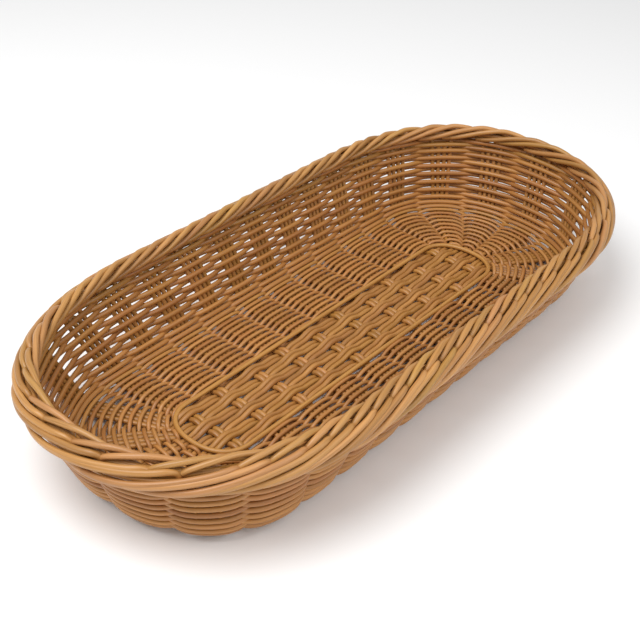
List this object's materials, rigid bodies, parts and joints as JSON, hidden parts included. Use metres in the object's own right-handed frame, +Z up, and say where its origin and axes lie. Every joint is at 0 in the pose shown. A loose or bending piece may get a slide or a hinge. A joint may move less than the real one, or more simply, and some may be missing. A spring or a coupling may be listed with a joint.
{
  "type": "bread basket",
  "caption": "Long oval open basket woven from tan plastic cane, with flared see-through walls and a thick rolled border, for serving bread.",
  "frame": {"origin": "on the resting plane, under the middle of the basket", "axes": "+X along the basket's length, +Y across it, +Z up through its open top"},
  "size_m": [0.45, 0.21, 0.07],
  "materials": {
    "stake_cane": "satin honey-brown plastic cane",
    "weaver_cane": "satin honey-tan plastic cane, thinner strands",
    "border_cane": "satin wheat-tan plastic cane"
  },
  "bodies": {
    "root": {"lengthwise_bundle_1": "stake_cane", "lengthwise_bundle_2": "stake_cane", "lengthwise_bundle_3": "stake_cane", "lengthwise_bundle_4": "stake_cane", "lengthwise_bundle_5": "stake_cane", "lengthwise_bundle_6": "stake_cane", "crosswise_bundle_01": "stake_cane", "crosswise_bundle_02": "stake_cane", "crosswise_bundle_03": "stake_cane", "crosswise_bundle_04": "stake_cane", "crosswise_bundle_05": "stake_cane", "crosswise_bundle_06": "stake_cane", "crosswise_bundle_07": "stake_cane", "crosswise_bundle_08": "stake_cane", "crosswise_bundle_09": "stake_cane", "crosswise_bundle_10": "stake_cane", "panel_ring": "weaver_cane", "floor_round_1": "weaver_cane", "floor_round_2": "weaver_cane", "floor_round_3": "weaver_cane", "floor_round_4": "weaver_cane", "floor_round_5": "weaver_cane", "floor_round_6": "weaver_cane", "wall_round_1": "weaver_cane", "wall_round_2": "weaver_cane", "wall_round_3": "weaver_cane", "wall_round_4": "weaver_cane", "wall_round_5": "weaver_cane", "wall_round_6": "weaver_cane", "wall_round_7": "weaver_cane", "wall_round_8": "weaver_cane", "border_outer_roll": "border_cane", "border_inner_roll": "border_cane"}
  },
  "joints": []
}
